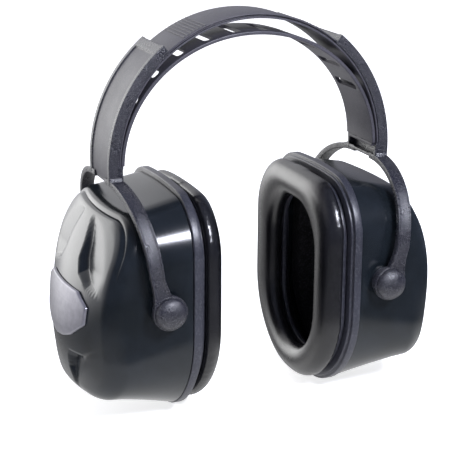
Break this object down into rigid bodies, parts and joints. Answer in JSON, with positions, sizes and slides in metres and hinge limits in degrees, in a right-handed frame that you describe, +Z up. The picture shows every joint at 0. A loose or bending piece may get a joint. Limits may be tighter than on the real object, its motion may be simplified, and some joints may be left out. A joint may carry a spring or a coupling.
{
  "type": "earmuff hearing protector",
  "caption": "Over-the-head hearing protector: an arched strap over a slotted inner strap, sliding forked yokes and tilting ear cups with soft cushions.",
  "frame": {"origin": "underside of the comfort strap at the crown, where the wearer's head meets it", "axes": "+Z up; +X towards the cup that the node names call right; Y along the cups' pivot axes, so a wearer faces -Y"},
  "size_m": [0.1924, 0.114, 0.1921],
  "materials": {
    "smooth_plastic": "smooth satin moulded plastic, near black",
    "grained_plastic": "fine moulded grain, near black with a violet cast",
    "cup_plastic": "glossy moulded plastic, very dark blue grey",
    "badge_plate": "satin silver-grey plate",
    "rim_plastic": "satin black moulded plastic",
    "cushion_skin": "soft black vinyl skin with a faint satin grain",
    "cushion_foam": "open grey foam",
    "lining_foam": "open black foam"
  },
  "bodies": {
    "headband": {"headband_strap": "smooth_plastic", "comfort_strap": "smooth_plastic", "right_strap_end_key": "smooth_plastic", "left_strap_end_key": "smooth_plastic"},
    "right_yoke": {"right_yoke": "grained_plastic", "right_front_pivot_stud": "grained_plastic", "right_rear_pivot_stud": "grained_plastic"},
    "right_cup": {"right_front_pivot_socket": "rim_plastic", "right_rear_pivot_socket": "rim_plastic", "right_cup_shell": "cup_plastic", "right_badge_plate": "badge_plate", "right_cup_foam_lining": "lining_foam", "right_rim_plate": "rim_plastic", "right_cushion_snap_ring": "rim_plastic", "right_cushion_foam": "cushion_foam", "right_cushion_skin": "cushion_skin"},
    "left_yoke": {"left_yoke": "grained_plastic", "left_front_pivot_stud": "grained_plastic", "left_rear_pivot_stud": "grained_plastic"},
    "left_cup": {"left_front_pivot_socket": "rim_plastic", "left_rear_pivot_socket": "rim_plastic", "left_cup_shell": "cup_plastic", "left_badge_plate": "badge_plate", "left_cup_foam_lining": "lining_foam", "left_rim_plate": "rim_plastic", "left_cushion_snap_ring": "rim_plastic", "left_cushion_foam": "cushion_foam", "left_cushion_skin": "cushion_skin"}
  },
  "joints": [
    {"name": "right_yoke_slide", "type": "hinge", "parent": "headband", "child": "right_yoke", "pos_m": [0, 0, -0.0592], "axis": [0, 1, 0], "range_deg": [-1.5, 10]},
    {"name": "right_cup_tilt", "type": "hinge", "parent": "right_yoke", "child": "right_cup", "pos_m": [0.0566, 0, -0.1182], "axis": [0, -1, 0], "range_deg": [-5, 12]},
    {"name": "left_yoke_slide", "type": "hinge", "parent": "headband", "child": "left_yoke", "pos_m": [0, 0, -0.0592], "axis": [0, -1, 0], "range_deg": [-1.5, 10]},
    {"name": "left_cup_tilt", "type": "hinge", "parent": "left_yoke", "child": "left_cup", "pos_m": [-0.0566, 0, -0.1182], "axis": [0, 1, 0], "range_deg": [-5, 12]}
  ]
}
